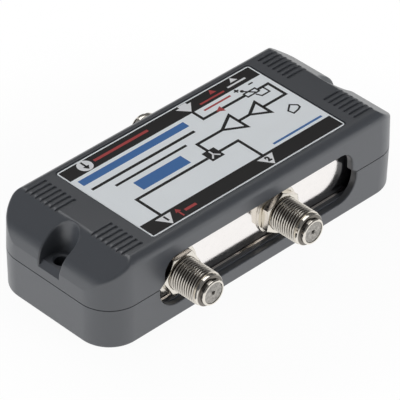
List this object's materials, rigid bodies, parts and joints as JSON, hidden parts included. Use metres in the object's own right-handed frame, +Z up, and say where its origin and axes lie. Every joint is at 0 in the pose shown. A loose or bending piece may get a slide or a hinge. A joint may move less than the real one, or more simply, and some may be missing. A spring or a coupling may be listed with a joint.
{
  "type": "aerial signal amplifier",
  "caption": "Low grey plastic case with sloped ends and screw notches, a shielded amplifier inside, threaded aerial sockets on both long sides, a supply socket and a gain trimmer.",
  "frame": {"origin": "middle of the underside of the case", "axes": "+X along the case, +Y out of the side with the input, -Y out of the side with the outputs, +Z up"},
  "size_m": [0.1064, 0.0632, 0.026],
  "materials": {
    "case_plastic": "fine matt texture, dark slate grey",
    "label_film": "printed film, satin",
    "tinned_sheet": "tinned, bright",
    "nickel": "nickel plated, bright",
    "socket_insulator": "smooth",
    "contact_metal": "tin and gold flashed",
    "board": "solder mask",
    "jack_plastic": "smooth",
    "trimmer_plastic": "smooth",
    "rotor_plastic": "smooth",
    "chip_plastic": "fine texture",
    "ferrite": "sintered",
    "copper_wire": "enamelled",
    "can_metal": "sleeved",
    "capacitor_ceramic": "fired",
    "resistor_ceramic": "glazed"
  },
  "bodies": {
    "case": {"top_cover": "case_plastic", "bottom_cover": "case_plastic", "label_sheet": "label_film", "shield_frame": "tinned_sheet", "shield_top_lid": "tinned_sheet", "shield_bottom_lid": "tinned_sheet", "circuit_board": "board", "dc_jack_housing": "jack_plastic", "dc_jack_pin": "nickel", "dc_jack_spring": "contact_metal", "gain_trimmer_body": "trimmer_plastic", "amplifier_transistors": "chip_plastic", "voltage_regulator": "chip_plastic", "splitter_core": "ferrite", "splitter_winding": "copper_wire", "filter_coils": "copper_wire", "feed_choke": "ferrite", "electrolytic_capacitor": "can_metal", "chip_capacitors": "capacitor_ceramic", "chip_resistors": "resistor_ceramic", "output_1_body": "nickel", "output_1_nut": "nickel", "output_1_washer": "nickel", "output_1_insulator": "socket_insulator", "output_1_contact": "contact_metal", "output_2_body": "nickel", "output_2_nut": "nickel", "output_2_washer": "nickel", "output_2_insulator": "socket_insulator", "output_2_contact": "contact_metal", "input_body": "nickel", "input_nut": "nickel", "input_washer": "nickel", "input_insulator": "socket_insulator", "input_contact": "contact_metal"},
    "trimmer_rotor": {"gain_trimmer_rotor": "rotor_plastic"}
  },
  "joints": [
    {"name": "gain_turn", "type": "hinge", "parent": "case", "child": "trimmer_rotor", "pos_m": [0.02679, 0.017, 0.01537], "axis": [0, 1, 0], "range_deg": [-135, 135]}
  ]
}
